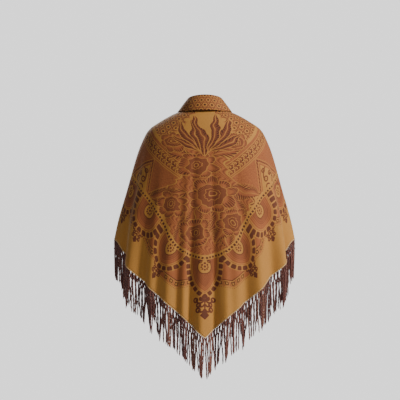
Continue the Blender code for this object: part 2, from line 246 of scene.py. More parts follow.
def even_columns():
    """The columns' shares of the way round, evenly apart along the hem, and their shares of the hem."""
    fine = np.linspace(-1.0, 1.0, 801)
    spread = np.abs(fine) + BACK_SPREAD * np.abs(fine) * (1 - np.abs(fine))
    shares = np.sign(fine) * spread
    hem_share = np.abs(fine)
    for _ in range(HEM_PASSES):
        hem = draped(shares, hem_height(hem_share), np.array([0.0, 1.0]))[:, 1]
        travelled = lengths_along(hem)
        middle = travelled[len(fine) // 2]
        halves = np.where(fine < 0, middle, travelled[-1] - middle)
        hem_share = np.abs(travelled - middle) / halves
    signed = hem_share * np.sign(fine)
    wanted = np.linspace(-1.0, 1.0, 2 * COLUMNS_A_SIDE + 1)
    return np.interp(wanted, signed, shares), wanted


def face_normals(grid):
    """The outward direction at each point of the cloth's outer face."""
    return unit(np.cross(np.gradient(grid, axis=1), np.gradient(grid, axis=0)))


def turned_edge(grid, normals):
    """The cloth's long edge as one line, from one front tip round the neck to the other.

    Returns the edge's points, the directions out of the cloth and the directions from the edge into the cloth.
    """
    left = grid[0, ::-1], normals[0, ::-1], unit(grid[1] - grid[0])[::-1]
    neck = grid[1:-1, 0], normals[1:-1, 0], unit(grid[1:-1, 1] - grid[1:-1, 0])
    right = grid[-1], normals[-1], unit(grid[-2] - grid[-1])
    return tuple(np.concatenate([a, b, c]) for a, b, c in zip(left, neck, right))


def smoothed(travelled, values, place):
    """The mean direction along a line within a short distance of a place, so that a corner turns softly."""
    near = place + TURN_SOFTNESS * np.linspace(-1.0, 1.0, 9)
    return unit(np.array([np.interp(near, travelled, values[:, k]).mean() for k in range(3)]))


def collar_line(row):
    """The collar's line at one place, as (up, out) pairs from its seam to the free edge of its fall."""
    roll = COLLAR_ROLL
    crest = max(row.stand, 1.6 * roll)
    seam = (COLLAR_SEAM, 0.0)
    rising = (0.5 * crest, -0.62 * row.lean)
    inner = (crest - 0.7 * roll, -row.lean)
    top = (crest, roll - row.lean)
    outer = (crest - 0.7 * roll, 2 * roll - row.lean)
    middle = (0.5 * (crest + row.end_up), 0.45 * (2 * roll - row.lean) + 0.55 * row.end_out + 0.001)
    return [seam, rising, inner, top, outer, middle, (row.end_up, row.end_out)]


def lifted(points, clearance, tree):
    """The points, with each that is over the cloth moved out to this distance from its middle surface."""
    moved = []
    for point in points:
        near, normal, _, _ = tree.find_nearest(Vector(point))
        away = Vector(point) - near
        off = away.dot(normal)
        beside = (away - normal * off).length
        push = max(0.0, clearance - off) if beside < 0.3 * abs(off) + 0.0002 else 0.0
        moved.append(np.array(Vector(point) + normal * push))
    return np.array(moved)


def collar_middle(grid, normals):
    """The middle surface of the folded edge, as a coarse grid of (column, row, 3) like the CAD solid's.

    Also returns each column's distance along the edge from the middle of the neck.
    """
    edge, out, into = turned_edge(grid, normals)
    travelled = lengths_along(edge)
    travelled -= travelled[len(travelled) // 2]
    rows = grid.shape[1]
    corner = travelled[-rows]
    beside_neck = np.linspace(0.0, corner, NECK_COLUMNS + 1)
    down_front = corner + (COLLAR_ROWS[-1].at - corner) * np.linspace(0.0, 1.0, FRONT_COLUMNS + 1)[1:] ** 1.2
    half = np.concatenate([beside_neck, down_front])
    places = np.concatenate([-half[:0:-1], half])
    table = np.array(COLLAR_ROWS)
    quads = [
        (c * rows + r, c * rows + r + 1, (c + 1) * rows + r + 1, (c + 1) * rows + r)
        for c in range(grid.shape[0] - 1) for r in range(rows - 1)
    ]
    tree = BVHTree.FromPolygons([Vector(p) for p in grid.reshape(-1, 3)], quads)
    lines = []
    for place in places:
        row = CollarRow(*(np.interp(abs(place), table[:, 0], table[:, k]) for k in range(6)))
        base = np.array([np.interp(place, travelled, edge[:, k]) for k in range(3)])
        off = smoothed(travelled, out, place)
        inward = smoothed(travelled, into, place)
        level = unit(off * np.array([1.0, 1.0, 0.0]))
        up = unit((1 - row.turn) * np.array([0.0, 0.0, 1.0]) - row.turn * inward)
        away = (1 - row.turn) * level + row.turn * off
        away = unit(away - up * np.dot(away, up))
        lines.append([base + up * a + away * b for a, b in collar_line(row)])
    middle = np.array(lines)
    for _ in range(COLLAR_PASSES):
        middle[1:-1, 1:] = 0.5 * middle[1:-1, 1:] + 0.25 * (middle[:-2, 1:] + middle[2:, 1:])
    for k in (4, 5, 6):
        middle[:, k] = lifted(middle[:, k], COLLAR_CLEARANCE + 0.5 * COLLAR_THICKNESS, tree)
    return middle, places


def refined(grid, across, down):
    """The grid with smooth steps in between, this many for each of its own."""
    return smooth_lines(smooth_lines(grid, across), down)


def even_line(points, count):
    """The line of points with this many even steps."""
    travelled = lengths_along(points)
    wanted = np.linspace(0.0, travelled[-1], count + 1)
    return np.stack([np.interp(wanted, travelled, points[:, k]) for k in range(3)], axis=-1)


# Meshes

def mesh_piece(name, points, quads, material, attributes):
    """A mesh object from arrays of points and four-cornered faces, with values stored at each point."""
    mesh = bpy.data.meshes.new(name)
    mesh.vertices.add(len(points))
    mesh.vertices.foreach_set("co", np.asarray(points, dtype=np.float32).ravel())
    mesh.loops.add(4 * len(quads))
    mesh.loops.foreach_set("vertex_index", np.asarray(quads, dtype=np.int32).ravel())
    mesh.polygons.add(len(quads))
    mesh.polygons.foreach_set("loop_start", np.arange(0, 4 * len(quads), 4, dtype=np.int32))
    mesh.update(calc_edges=True)
    for key, values in attributes.items():
        layer = mesh.attributes.new(key, "FLOAT_VECTOR", "POINT")
        layer.data.foreach_set("vector", np.asarray(values, dtype=np.float32).ravel())
    mesh.shade_smooth()
    mesh.validate()
    mesh.materials.append(material)
    piece = bpy.data.objects.new(name, mesh)
    bpy.context.scene.collection.objects.link(piece)
    return piece


def shell(outer, inner):
    """The points and faces of a closed thin wall between two grids of (column, row, 3)."""
    columns, rows = outer.shape[:2]
    index = np.arange(columns * rows).reshape(columns, rows)
    under = index + columns * rows
    a, b, c, d = index[:-1, :-1], index[:-1, 1:], index[1:, 1:], index[1:, :-1]
    faces = [np.stack([a, b, c, d], -1), np.stack([a, d, c, b], -1) + columns * rows]
    faces = [f.reshape(-1, 4) for f in faces]
    rims = ((index[:, 0], under[:, 0], 1), (index[:, -1], under[:, -1], -1),
            (index[0], under[0], -1), (index[-1], under[-1], 1))
    for top, low, way in rims:
        rim = np.stack([top[:-1], top[1:], low[1:], low[:-1]], -1)
        faces.append(rim if way > 0 else rim[:, ::-1])
    return np.concatenate([outer.reshape(-1, 3), inner.reshape(-1, 3)]), np.concatenate(faces)


def turns(sides):
    return np.arange(sides) * 2 * math.pi / sides


def tubes(centres, side_a, side_b, radius):
    """Closed tubes along many lines of points at once.

    centres and the two directions across are (tube, point, 3), and radius is (tube, point, side).
    """
    count, steps, sides = radius.shape
    turn = turns(sides)[:, None]
    points = (centres[:, :, None] + radius[..., None] * (
        np.cos(turn) * side_a[:, :, None] + np.sin(turn) * side_b[:, :, None]))
    index = np.arange(count * steps * sides).reshape(count, steps, sides)
    after = np.roll(index, -1, axis=2)
    quads = np.stack([index[:, :-1], after[:, :-1], after[:, 1:], index[:, 1:]], -1).reshape(-1, 4)
    caps = []
    for level, flip in ((0, True), (-1, False)):
        ring_now = index[:, level]
        for k in range(1, sides - 2, 2):
            cap = np.stack([ring_now[:, 0], ring_now[:, k], ring_now[:, k + 1], ring_now[:, k + 2]], -1)
            caps.append(cap[:, ::-1] if flip else cap)
    return points.reshape(-1, 3), np.concatenate([quads] + caps)


# Numbers that vary over a surface, written as sums

class Field:
    """The output of a shader node, so that a pattern can be written as arithmetic."""

    tree = None

    def __init__(self, socket):
        self.socket = socket

    def __add__(self, other):
        return math_node("ADD", self, other)

    __radd__ = __add__

    def __sub__(self, other):
        return math_node("SUBTRACT", self, other)

    def __rsub__(self, other):
        return math_node("SUBTRACT", other, self)

    def __mul__(self, other):
        return math_node("MULTIPLY", self, other)

    __rmul__ = __mul__

    def __truediv__(self, other):
        return math_node("DIVIDE", self, other)


def feed(socket, value):
    """Links a field to a socket, or sets a plain number on it."""
    if isinstance(value, Field):
        Field.tree.links.new(value.socket, socket)
    else:
        socket.default_value = value


def math_node(operation, *values, clamp=False):
    node = Field.tree.nodes.new("ShaderNodeMath")
    node.operation = operation
    node.use_clamp = clamp
    for socket, value in zip(node.inputs, values):
        feed(socket, value)
    return Field(node.outputs[0])


def size(value):
    return math_node("ABSOLUTE", value)


def least(a, b):
    return math_node("MINIMUM", a, b)


def most(a, b):
    return math_node("MAXIMUM", a, b)


def repeat(value, pitch):
    """The value folded into one pitch, from minus half a pitch to half a pitch."""
    return math_node("WRAP", value, 0.5 * pitch, -0.5 * pitch)


def wave(value, pitch):
    return math_node("SINE", value * (2 * math.pi / pitch))


def reach(across, up):
    """The distance from the centre of two directions."""
    return math_node("SQRT", math_node("MULTIPLY_ADD", across, across, up * up))


def inside(distance, soft=0.0005):
    """1 where a distance is below zero and 0 where it is above, with a soft edge."""
    return math_node("MULTIPLY_ADD", distance, -1.0 / soft, 0.5, clamp=True)


def over(below, above, share):
    """One field laid over another, by this share."""
    node = Field.tree.nodes.new("ShaderNodeMix")
    for key, value in (("Factor", share), ("A", below), ("B", above)):
        feed(node.inputs[key], value)
    return Field(node.outputs[0])


def curve(value, points):
    """The value looked up in a table of (place, result), with straight lines in between."""
    places = [p[0] for p in points]
    results = [p[1] for p in points]
    low, high = min(places), max(places)
    bottom, top = min(results), max(results)
    node = Field.tree.nodes.new("ShaderNodeFloatCurve")
    line = node.mapping.curves[0]
    while len(line.points) < len(points):
        line.points.new(0.5, 0.5)
    for point, (place, result) in zip(line.points, sorted(points)):
        point.location = ((place - low) / (high - low), (result - bottom) / (top - bottom))
        point.handle_type = "VECTOR"
    node.mapping.update()
    share = math_node("MULTIPLY_ADD", value, 1 / (high - low), -low / (high - low), clamp=True)
    feed(node.inputs["Value"], share)
    return Field(node.outputs[0]) * (top - bottom) + bottom


def noise(vector, scale, detail):
    """The outputs of a noise: a number, and a colour whose parts are numbers of their own."""
    node = Field.tree.nodes.new("ShaderNodeTexNoise")
    feed(node.inputs["Scale"], scale)
    feed(node.inputs["Detail"], detail)
    Field.tree.links.new(vector, node.inputs["Vector"])
    return Field(node.outputs[0]), node.outputs["Color"]


def parted(vector):
    """The three parts of a vector, each as a field."""
    node = Field.tree.nodes.new("ShaderNodeSeparateXYZ")
    Field.tree.links.new(vector, node.inputs[0])
    return [Field(output) for output in node.outputs]


# The woven pattern. Ink runs from 0, the ochre ground, over 0.5, brown, to 1, the darkest brown.
# x and y are metres in the flat cut, y up from the point; s runs along the hem and d away from it.

CUT_DEPTH = 0.714          # from the middle of the long edge to the point
CUT_HALF = 0.758           # half of the long edge
CUT_SIDE = math.hypot(CUT_DEPTH, CUT_HALF)
NECK_HALF = 0.125          # how much of each half of the long edge lies round the neck

# The garland of small squares: its height y at a distance x from the middle.
GARLAND = (
    (0.000, 0.2390), (0.020, 0.2465), (0.040, 0.2560), (0.062, 0.2720), (0.078, 0.2920), (0.090, 0.3180),
    (0.098, 0.3480), (0.108, 0.3750), (0.125, 0.4020), (0.148, 0.4340), (0.172, 0.4590), (0.214, 0.4830),
    (0.260, 0.5150), (0.340, 0.5850), (0.430, 0.6650), (0.510, 0.7400),
)
# How far from the hem the medallions' discs lie, at a distance s along it.
DISC_LINE = (
    (0.00, 0.1440), (0.200, 0.1440), (0.259, 0.1443), (0.315, 0.1700), (0.372, 0.1910), (0.430, 0.1850),
    (0.488, 0.1700), (0.560, 0.1600), (0.660, 0.1560), (1.000, 0.1560),
)
# The zigzag that bounds the brown field, away from the hem.
ZIGZAG = (
    (0.300, 0.222), (0.352, 0.318), (0.404, 0.226), (0.4455, 0.314), (0.511, 0.208), (0.562, 0.300),
    (0.613, 0.205), (0.664, 0.300), (0.715, 0.205), (0.766, 0.300), (0.817, 0.205), (1.000, 0.205),
)
# Half of the bouquet's width at a height y.
BOUQUET = (
    (0.235, 0.020), (0.265, 0.058), (0.300, 0.082), (0.345, 0.094), (0.380, 0.106), (0.420, 0.118),
    (0.450, 0.098), (0.475, 0.062), (0.510, 0.046), (0.545, 0.044), (0.575, 0.048), (0.590, 0.034),
    (0.602, -0.030), (0.720, -0.030),
)
# Half of the width of the plain ground round the bouquet's leaves.
CLEARING = (
    (0.235, 0.200), (0.560, 0.094), (0.590, 0.076), (0.615, 0.058), (0.645, 0.042), (0.680, 0.032),
    (0.702, 0.018), (0.710, -0.030), (0.800, -0.030),
)
MEDALLION_PITCH = 0.1145
MEDALLION_ALONG = 0.2575
FIELD_HIGH = 0.3150        # where the brown field ends and the fret begins
FRET_LOW = 0.3240
FRET_HIGH = 0.3500
STRIP_HIGH = 0.3610
CELL = 0.0192
# The curls in the triangles: across and up from the middle, and the radius.
CURLS = (
    (-0.0150, 0.0030, 0.0066), (0.0120, -0.0170, 0.0078), (-0.0110, 0.0280, 0.0050),
    (-0.0190, -0.0190, 0.0070), (0.0330, -0.0280, 0.0052), (0.0060, 0.0070, 0.0052),
    (-0.0020, -0.0330, 0.0045), (-0.0370, -0.0280, 0.0045),
)
SPREAD_SHARE = 0.10
SPREAD_MOST = 0.012
SPREAD_TOP = 0.46
DRIFT = 0.030              # how far the bouquet is drawn out of true
WEFT_PITCH = 0.0021
WARP_PITCH = 0.0026
EDGE_TURN = 0.0040         # one twist of the hem's cord

Flower = namedtuple("Flower", "x y radius petals turn")
FLOWERS = (
    Flower(0.056, 0.586, 0.028, 6, 0.2),
    Flower(-0.060, 0.588, 0.031, 7, 0.9),
    Flower(-0.080, 0.405, 0.041, 8, 0.4),
    Flower(0.072, 0.355, 0.042, 8, 1.3),
    Flower(-0.026, 0.318, 0.044, 7, 0.1),
    Flower(0.016, 0.432, 0.056, 9, 0.5),
    Flower(-0.014, 0.522, 0.040, 8, 0.3),
)
# Leaves run from (x, y) for a length in the direction of an angle, in degrees round from straight across.
Leaf = namedtuple("Leaf", "x y length width angle bend tooth")
LEAVES = (
    Leaf(0.012, 0.552, 0.072, 0.0150, 10, 2.0, 0.20),
    Leaf(-0.016, 0.550, 0.068, 0.0150, 172, -2.0, 0.20),
    Leaf(0.040, 0.455, 0.100, 0.0200, -22, 2.2, 0.22),
    Leaf(-0.040, 0.450, 0.105, 0.0200, 204, -2.2, 0.22),
    Leaf(0.060, 0.430, 0.094, 0.0180, -68, 2.0, 0.22),
    Leaf(-0.050, 0.370, 0.105, 0.0180, 262, -2.2, 0.22),
    Leaf(0.026, 0.400, 0.135, 0.0190, -84, 1.6, 0.20),
    Leaf(-0.012, 0.405, 0.120, 0.0170, -108, -1.4, 0.20),
    Leaf(0.052, 0.360, 0.080, 0.0150, -100, -2.0, 0.20),
)
SPRAY = (
    Leaf(-0.008, 0.565, 0.074, 0.0075, 152, -2.6, 0.00),
    Leaf(0.008, 0.566, 0.078, 0.0080, 26, 2.8, 0.00),
    Leaf(-0.006, 0.566, 0.104, 0.0088, 132, -2.6, 0.00),
    Leaf(0.006, 0.566, 0.110, 0.0088, 50, 2.4, 0.00),
    Leaf(-0.003, 0.560, 0.124, 0.0092, 112, -2.0, 0.00),
    Leaf(0.004, 0.560, 0.130, 0.0092, 68, 1.8, 0.00),
    Leaf(0.000, 0.548, 0.140, 0.0100, 92, 1.0, 0.00),
)


def flower_ink(ink, x, y, flower):
    """A round flower in three rings of petals with comb lines, edged in ochre, laid over the ink."""
    across, up = x - flower.x, y - flower.y
    far = reach(across, up)
    angle = math_node("ARCTAN2", up, across) + flower.turn
    petal = 2 * math.pi / flower.petals
    beside = size(repeat(angle, petal)) * (2 / petal)
    rim = (1.0 - beside * beside * 0.20) * flower.radius
    comb = wave(angle, petal / 7) * 0.5 + 0.5
    tone = comb * inside(0.78 * rim - far, 0.006) * 0.40 + 0.52
    tone = over(tone, 0.24, inside(0.93 - beside, 0.05))
    middle = (0.55 + 0.08 * beside) * flower.radius
    tone = over(tone, 0.14, inside(far - middle - 0.0008))
    tone = over(tone, comb * 0.34 + 0.56, inside(far - middle + 0.0008))
    core = (0.33 - 0.05 * beside) * flower.radius
    tone = over(tone, 0.26, inside(size(far - core) - 0.0008))
    tone = over(tone, 0.72, inside(far - core + 0.0008))
    tone = over(tone, 0.08, inside(size(far - 0.15 * flower.radius) - 0.0010))
    tone = tone * inside(far - rim)
    return over(ink, tone, inside(far - rim - 0.0016))


def leaf_ink(ink, x, y, leaf):
    """A pointed leaf with a midrib and side veins, edged in ochre, laid over the ink."""
    cos, sin = math.cos(math.radians(leaf.angle)), math.sin(math.radians(leaf.angle))
    across, up = x - leaf.x, y - leaf.y
    along = across * cos + up * sin
    beside = up * cos - across * sin - along * along * leaf.bend
    share = math_node("MULTIPLY", along, 1.0 / leaf.length, clamp=True)
    half = math_node("POWER", share * (1.0 - share) * 4.0, 0.75) * (leaf.width + 0.0018) - 0.0018
    far = size(beside)
    veins = wave(along - far * 1.1, 0.0066)
    if leaf.tooth:
        half = half * (veins * leaf.tooth + 1.0)
    gap = far - half
    tone = (veins * 0.5 + 0.5) * inside(0.45 * half - far, 0.003) * 0.36 + (0.56 if leaf.tooth else 0.68)
    tone = over(tone, 0.10, inside(far - 0.0008))
    tone = tone * inside(gap)
    return over(ink, tone, inside(gap - 0.0014))


def medallion_ink(ink, x, y, s, d, hanging):
    """The row of medallions that hangs from the garland, with its beads, squares and finials."""
    centred = inside(s - (MEDALLION_ALONG - 0.5 * MEDALLION_PITCH), 0.0004)
    line = curve(s, DISC_LINE)
    turned = repeat(s - MEDALLION_ALONG, MEDALLION_PITCH)
    off = d - line
    across = over(size(turned), x, centred)
    up = over(off, y - 0.2147, centred)

    # Brown panels between the medallions, in a wide V, with squares and a dotted line.
    corner = size(repeat(s - MEDALLION_ALONG - 0.5 * MEDALLION_PITCH, MEDALLION_PITCH))
    first = inside(s - MEDALLION_ALONG, 0.0004)
    out_first = (x - 0.0875) * 0.369 - (y - 0.165) * 0.929
    side_first = size((x - 0.0875) * 0.929 + (y - 0.165) * 0.369)
    out = over(-0.0780 - off, out_first, first)
    side = over(corner, side_first, first)
    edge = out + side * 0.40
    panel = over(0.54, 0.86, inside(size(edge + 0.0195) - 0.0013))
    panel = over(panel, 0.12, inside(size(edge + 0.0170) - 0.0008))
    box = most(size(repeat(side, 0.0178)), size(edge + 0.0092))
    ring_box = over(0.06, over(0.95, 0.06, inside(box - 0.0026)), inside(box - 0.0054))
    panel = over(panel, ring_box, inside(box - 0.0068) * inside(side - 0.042))
    ink = over(ink, panel, inside(edge) * hanging)
    dots = reach(repeat(side, 0.0052), edge - 0.0040) - 0.0013
    ink = over(ink, 0.80, inside(dots, 0.0008) * hanging)

    # The medallion's own shape: straight sides from the garland, and a round or pointed foot.
    wide = 0.0525 - 0.0080 * centred
    shift = 0.0060 + 0.0530 * centred
    rise = up + 0.0060 - centred * 0.0010
    fall = least(rise, 0.0)
    far = (reach(across + shift, fall) - shift) / wide
    around = math_node("ARCTAN2", fall * -1.0, across + shift)
    steps = (1.4690 - 0.5040 * centred - around) * (wide + shift) + most(rise, 0.0)
    bead_turn = size(repeat(steps, 0.0186)) * 122.0
    bead_out = size(far - 1.0) * wide * 132.0
    bead = most(most(bead_turn, bead_out) - 0.88, (bead_turn + bead_out) * 0.60 - 0.88)
    body = over(0.04, 0.86, inside(bead, 0.14))
    body = over(body, 0.56, inside(far - 0.870, 0.010))
    body = over(body, 0.0, inside(size(far - 0.850) - 0.020, 0.010))
    body = over(body, 0.0, inside(size(far - 0.770) - 0.018, 0.010))
    body = over(body, wave(far, 0.095) * 0.08 + 0.56, inside(far - 0.735, 0.010))
    body = over(body, 0.68, inside(far - 0.540, 0.030) * 0.6)
    disc = reach(across, up * 0.80)
    body = over(body, 0.84, inside(disc - 0.0180))
    body = over(body, 0.02, inside(disc - 0.0158))
    hook = reach(across - 0.0105, up - 0.0165)
    body = over(body, 0.86, inside(size(hook - 0.0038) - 0.0012))
    spoke = repeat(math_node("ARCTAN2", across, up + 0.0010), 0.25 * math.pi) * 0.0078
    body = over(body, 0.88, inside(reach(spoke, disc - 0.0078) - 0.0024, 0.0009))
    body = over(body, 0.84, inside(disc - 0.0030, 0.0009))
    ink = over(ink, body, inside(far - 1.155, 0.02) * hanging)

    # Finials: curls to both sides of a stem that ends in a drop.
    grow = 0.70 + centred * 0.44
    fx = across / grow
    fy = (up + 0.0640 + centred * 0.0262) / grow
    shape = None
    for cx, cy, radius in ((0.0225, -0.0075, 0.0052), (0.0150, -0.0215, 0.0046), (0.0165, -0.0345, 0.0052)):
        curl = size(reach(fx - cx, fy - cy) - radius) - 0.0023
        arm = most(size(reach(fx - 0.5 * cx, fy - cy - 0.001) - 0.5 * cx + 0.0016) - 0.0024, fy - cy - 0.001)
        both = least(curl, most(arm, fx - cx))
        shape = both if shape is None else least(shape, both)
    drop = size(fx) * 1.15 + size(fy + 0.0490) - 0.0135
    petals = reach(size(fx) - 0.0078, (fy + 0.0050) * 0.8) - 0.0056
    stem = most(size(fx) - 0.0018, size(fy + 0.026) - 0.024)
    shape = least(least(shape, petals), least(drop, stem))
    return over(ink, 0.86, inside(shape, 0.0008) * inside(1.145 - far, 0.02))


def fret_ink(ink, s, d):
    """The band of hooked keys in two rows, between double lines, with a plain brown strip above."""
    off = d - 0.5 * (FRET_LOW + FRET_HIGH)
    row = math_node("SIGN", off)
    pitch = 0.0150
    p = repeat(s + row * 0.25 * pitch, pitch)
    q = size(off) - 0.0066
    hook_line = most(size(reach(p, q) - 0.0044), p * -0.8 - q * row - 0.0016)
    tail = most(size(reach(p + 0.0075, q + row * 0.0010) - 0.0046), size(p + 0.0060) - 0.0040)
    core = reach(p - 0.0004, q) - 0.0004
    hooks = least(least(hook_line, tail), core) - 0.0011
    keys = over(0.72, 0.0, inside(hooks, 0.0006))
    seeds = reach(repeat(s, pitch), off) - 0.0020
    keys = over(keys, 0.98, inside(seeds))
    middle = 0.5 * (FIELD_HIGH + STRIP_HIGH)
    band = over(0.58, keys, inside(size(off) - 0.5 * (FRET_HIGH - FRET_LOW)))
    for at in (FIELD_HIGH + 0.0016, FIELD_HIGH + 0.0066, FRET_HIGH + 0.0022):
        band = over(band, 0.02, inside(size(d - at) - 0.0010))
    return over(ink, band, inside(size(d - middle) - 0.5 * (STRIP_HIGH - FIELD_HIGH)))


def field_ink(ink, s, d, garland, grain):
    """The brown field between garland and fret, with triangles of scrolls that stand on the garland."""
    field = grain * 0.50 + 0.56
    ridge = curve(s, ZIGZAG)
    slope = (d - ridge) * 0.50
    field = over(field, 0.12, inside(size(slope - 0.0012) - 0.0008))
    field = over(field, 0.12, inside(size(slope + 0.0062) - 0.0010))
    cells = inside(size(slope + 0.0025) - 0.0018) * inside(size(repeat(s, 0.0046)) - 0.0014)
    field = over(field, 0.88, cells)
    within = slope + 0.0076
    lot = repeat(s - 0.4560, 0.102)
    high = d - 0.2440
    ground = over(0.56, 0.02, inside(within + 0.0030))
    tail_a = most(size(reach(lot - 0.0080, high - 0.0030) - 0.0290), high * -1.0 + 0.0030)
    tail_b = most(size(reach(lot + 0.0010, high + 0.0160) - 0.0215), high * -1.0 - 0.0160)
    tail_a = most(tail_a, lot + 0.0010)
    tail_b = most(tail_b, lot * -1.0 + 0.0060)
    scroll = least(tail_a, tail_b)
    for curl_x, curl_y, radius in CURLS:
        from_heart = reach(lot - curl_x, high - curl_y)
        scroll = least(scroll, least(size(from_heart - radius), from_heart + 0.0006))
    scroll = scroll - 0.0020
    ground = over(ground, 0.80, inside(scroll))
    field = over(field, ground, inside(within))
    return over(ink, field, inside(0.0100 - garland) * inside(d - FIELD_HIGH))


def pattern(cut, grain):
    """The whole pattern, as ink, at a place in the flat cut."""
    side, y, back = parted(cut)
    whole = size(side)
    # The folds take up cloth near the middle, most on the left, so the figures there stand wider apart.
    eased = least(whole * SPREAD_SHARE, SPREAD_MOST) * (inside(side, 0.02) * 0.55 + 0.45)
    x = whole - eased * inside(y - SPREAD_TOP, 0.20)
    s = (x * CUT_HALF + y * CUT_DEPTH) * (1 / CUT_SIDE)
    d = (y * CUT_HALF - x * CUT_DEPTH) * (1 / CUT_SIDE)
    height = curve(x, GARLAND)
    lean = (curve(x + 0.004, GARLAND) - height) * 250.0
    steep = math_node("SQRT", lean * lean + 1.0)
    garland = (y - height) / steep
    hanging = inside(garland)

    tall = CELL * math.sqrt(3)
    ring_a = reach(repeat(x, CELL), repeat(y, tall))
    ring_b = reach(repeat(x + 0.5 * CELL, CELL), repeat(y + 0.5 * tall, tall))
    cell = least(ring_a, ring_b)
    near = x - curve(y, CLEARING)
    clear = inside(0.007 - near, 0.003)
    net = over(0.26, 0.0, inside(cell - 0.0088, 0.0010))
    net = over(net, 0.84, inside(size(cell - 0.0082) - 0.0011, 0.0008))
    net = over(net, 1.00, inside(cell - 0.0033, 0.0008) * clear)
    net = over(net, 0.50, inside(size(cell - 0.0055) - 0.0005, 0.0008) * clear)
    plain = inside(STRIP_HIGH + 0.0100 - d, 0.0006) * inside(0.0 - near, 0.006)
    ink = net * plain

    ink = field_ink(ink, s, d, garland, grain)
    ink = fret_ink(ink, s, d)

    # The bouquet: a dense brown mass with a scalloped edge, then leaves and flowers on it, drawn unevenly.
    drift = parted(noise(cut, 24.0, 1.0)[1])
    drawn_x, drawn_y = ((part - 0.5) * DRIFT + place for part, place in zip(drift, (side, y)))
    width = curve(y, BOUQUET)
    scallop = size(wave(y + side * 0.5, 0.056)) * 0.010
    mass = x - width + scallop
    stripes = wave(side * 0.9 + y * 0.5 + scallop, 0.0068) * 0.12 + grain * 0.25 + 0.56
    ink = over(ink, 0.0, inside(mass - 0.0035) * inside(0.0 - garland))
    ink = over(ink, stripes, inside(mass) * inside(0.0085 - garland))
    for leaf in LEAVES:
        ink = leaf_ink(ink, drawn_x, drawn_y, leaf)
    for flower in FLOWERS:
        ink = flower_ink(ink, drawn_x, drawn_y, flower)
    for leaf in SPRAY:
        ink = leaf_ink(ink, drawn_x, drawn_y, leaf)

    ink = over(ink, 0.0, inside(garland - 0.0068))
    ink = medallion_ink(ink, x, y, s, d, hanging)
    # The garland's squares follow the curve, one for each step across and up.
    walk = over(x * 1.10 + y * 0.30, x * 0.62 + y * 0.82, inside(0.052 - x, 0.0004))
    bead = most(size(repeat(walk, 0.0098)), size(garland)) - 0.0029
    ink = over(ink, over(0.0, 0.98, inside(bead, 0.0007)), inside(size(garland) - 0.0054))
    return over(ink, 0.62 - ink * 0.5, back)


def ramp(value, stops):
    node = Field.tree.nodes.new("ShaderNodeValToRGB")
    while len(node.color_ramp.elements) < len(stops):
        node.color_ramp.elements.new(0.5)
    for element, (place, colour) in zip(node.color_ramp.elements, stops):
        element.position = place
        element.color = (*colour, 1.0)
    Field.tree.links.new(value.socket, node.inputs[0])
    return node.outputs[0]


def tinted(colour, value, low, high):
    """The colour, made darker or lighter by a value between 0 and 1."""
    node = Field.tree.nodes.new("ShaderNodeHueSaturation")
    Field.tree.links.new(colour, node.inputs["Color"])
    Field.tree.links.new((value * (high - low) + low).socket, node.inputs["Value"])
    return node.outputs[0]


def new_material(name):
    material = bpy.data.materials.new(name)
    material.use_nodes = True
    Field.tree = material.node_tree
    return material, material.node_tree.nodes["Principled BSDF"]


def finish(shader, colour, values):
    """Gives a shader its colour and its other values."""
    Field.tree.links.new(colour, shader.inputs["Base Color"])
    for key, value in values.items():
        shader.inputs[key].default_value = value


def attribute(name):
    node = Field.tree.nodes.new("ShaderNodeAttribute")
    node.attribute_name = name
    return node.outputs["Vector"]


def bump(shader, height, strength, distance):
    node = Field.tree.nodes.new("ShaderNodeBump")
    node.inputs["Strength"].default_value = strength
    node.inputs["Distance"].default_value = distance
    Field.tree.links.new(height.socket, node.inputs["Height"])
    Field.tree.links.new(node.outputs[0], shader.inputs["Normal"])


def brocade():
    """The woven cloth: ochre ground, brown figures, a fine rib and a soft sheen."""
    material, shader = new_material("brocade")
    cut = attribute("cut")
    grain = noise(cut, 260.0, 3.0)[0] - 0.5
    broad = noise(cut, 9.0, 2.0)[0]
    ink = pattern(cut, grain)
    x, y, _ = parted(cut)
    rib = wave(y, WEFT_PITCH) * wave(x, WARP_PITCH)
    colour = ramp(ink, (
        (0.00, (0.388, 0.172, 0.031)),
        (0.20, (0.358, 0.146, 0.029)),
        (0.50, (0.312, 0.093, 0.026)),
        (0.72, (0.150, 0.038, 0.013)),
        (1.00, (0.055, 0.013, 0.005)),
    ))
    # The cloth's own uneven tone: fine grain, broad patches and the rib of the weave.
    cloth_tone = grain * 0.5 + broad * 0.35 + rib * 0.05 + 0.35
    finish(shader, tinted(colour, cloth_tone, 0.70, 1.30), {
        "Roughness": 0.72, "Specular IOR Level": 0.25, "Sheen Weight": 0.22, "Sheen Roughness": 0.45,
        "Sheen Tint": (1.0, 0.80, 0.55, 1.0)})
    bump(shader, rib + grain * 1.6, 0.35, 0.0006)
    return material


def cord_edge():
    """The rolled ochre edge along the hem, with painted highlight and shade along its twist."""
    material, shader = new_material("rolled_edge")
    around, along, _ = parted(attribute("yarn"))
    twist = wave(around * EDGE_TURN + along, EDGE_TURN)
    # The ochre made lighter and darker along the cord's twist: painted highlight on its ridges, painted shade
    # in its grooves.
    colour = ramp(twist * 0.5 + 0.5, (
        (0.0, (0.330, 0.165, 0.045)),
        (0.5, (0.600, 0.360, 0.120)),
        (1.0, (0.680, 0.430, 0.160)),
    ))
    finish(shader, colour, {"Roughness": 0.6, "Sheen Weight": 0.2})
    bump(shader, twist, 0.5, 0.0006)
    return material


